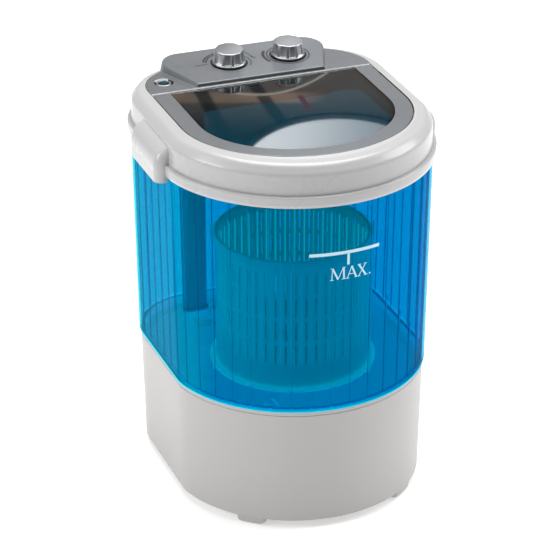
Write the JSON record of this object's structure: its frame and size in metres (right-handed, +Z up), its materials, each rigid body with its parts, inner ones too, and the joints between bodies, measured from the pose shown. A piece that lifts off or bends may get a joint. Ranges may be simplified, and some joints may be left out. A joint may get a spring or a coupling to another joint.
{
  "type": "top load washing machine",
  "caption": "Small portable top-load washer: clear blue D-shaped tub on a white base, white top frame, smoked hinged lid, lift-out spin basket and a control panel with knobs.",
  "frame": {"origin": "on the floor, under the middle of the machine's outline", "axes": "+Z up, -Y towards the front, +X to the right seen from the front"},
  "size_m": [0.3506, 0.3649, 0.4963],
  "materials": {
    "base_white": "satin moulded",
    "frame_white": "gloss moulded",
    "tub_blue": "clear tinted",
    "panel_silver": "satin silver coat",
    "lid_silver": "satin silver coat",
    "window_smoke": "clear smoked",
    "knob_chrome": "satin plated",
    "bezel_black": "matt",
    "foot_rubber": "matt",
    "inner_black": "matt",
    "inner_grey": "matt",
    "basket_blue": "clear tinted",
    "pulsator_white": "gloss moulded",
    "screw_steel": "zinc plated",
    "shaft_steel": "ground",
    "bush_bronze": "sintered",
    "bearing_alloy": "die cast",
    "pulley_alloy": "turned",
    "belt_rubber": "cloth backed",
    "mount_rubber": "matt",
    "motor_paint": "enamel",
    "bracket_steel": "zinc plated",
    "capacitor_can": "matt",
    "wire_sleeve": "matt"
  },
  "bodies": {
    "cabinet": {"base_housing": "base_white", "base_plate": "base_white", "outer_tub": "tub_blue", "top_frame": "frame_white", "foot_front_left": "foot_rubber", "foot_front_right": "foot_rubber", "foot_rear_left": "foot_rubber", "foot_rear_right": "foot_rubber", "foot_screws": "screw_steel", "base_plate_screws": "screw_steel", "tub_screws": "screw_steel", "lid_buffers": "mount_rubber", "control_panel": "panel_silver", "panel_screws": "screw_steel", "control_box": "inner_grey", "selector_bezel": "bezel_black", "timer_bezel": "bezel_black", "inlet_tube": "knob_chrome", "selector_switch": "inner_black", "wash_timer": "inner_grey", "inlet_socket": "bezel_black", "drain_grille": "inner_grey", "drain_sump": "inner_grey", "outlet_spigot": "inner_grey", "cord_gland": "inner_black", "cable_duct": "basket_blue", "wiring_harness": "wire_sleeve", "terminal_block": "inner_black", "bearing_housing": "bearing_alloy", "bearing_gasket": "mount_rubber", "bearing_screws": "screw_steel", "bush_lower": "bush_bronze", "bush_upper": "bush_bronze", "shaft_seal": "mount_rubber", "drive_belt": "belt_rubber", "motor_can": "motor_paint", "motor_bracket": "bracket_steel", "motor_grommets": "mount_rubber", "motor_screws": "screw_steel", "capacitor": "capacitor_can", "capacitor_clamp": "bracket_steel"},
    "lid": {"lid_frame": "lid_silver", "lid_window": "window_smoke", "hinge_pin_left": "shaft_steel", "hinge_pin_right": "shaft_steel"},
    "selector": {"selector_knob": "knob_chrome", "selector_stem": "shaft_steel"},
    "timer": {"timer_knob": "knob_chrome", "timer_stem": "shaft_steel"},
    "motor": {"motor_rotor": "shaft_steel", "motor_pulley": "pulley_alloy"},
    "wash_drive": {"pulsator": "pulsator_white", "pulsator_screw": "screw_steel", "drive_shaft": "shaft_steel", "driven_pulley": "pulley_alloy", "pulley_nut": "screw_steel"},
    "basket": {"spin_basket": "basket_blue", "basket_rim": "basket_blue"}
  },
  "joints": [
    {"name": "lid_hinge", "type": "hinge", "parent": "cabinet", "child": "lid", "pos_m": [0, 0.0826, 0.4668], "axis": [-1, 0, 0], "range_deg": [0, 95]},
    {"name": "selector_turn", "type": "hinge", "parent": "cabinet", "child": "selector", "pos_m": [-0.025, 0.1325, 0.47724], "axis": [0, -0.0611, 0.9981], "range_deg": [-45, 45]},
    {"name": "timer_turn", "type": "hinge", "parent": "cabinet", "child": "timer", "pos_m": [0.0503, 0.1325, 0.47724], "axis": [0, -0.0611, 0.9981], "range_deg": [-300, 0]},
    {"name": "motor_spin", "type": "hinge", "parent": "cabinet", "child": "motor", "pos_m": [0, 0.104, 0.09], "axis": [0, 0, 1], "continuous": true},
    {"name": "pulsator_spin", "type": "hinge", "parent": "cabinet", "child": "wash_drive", "pos_m": [0, -0.016, 0.1], "axis": [0, 0, 1], "continuous": true},
    {"name": "basket_lift", "type": "slide", "parent": "wash_drive", "child": "basket", "axis": [0, 0, 1], "range_m": [0, 0.11]}
  ],
  "couplings": [
    {"joint": "pulsator_spin", "follows": "motor_spin", "ratio": 0.19643}
  ]
}
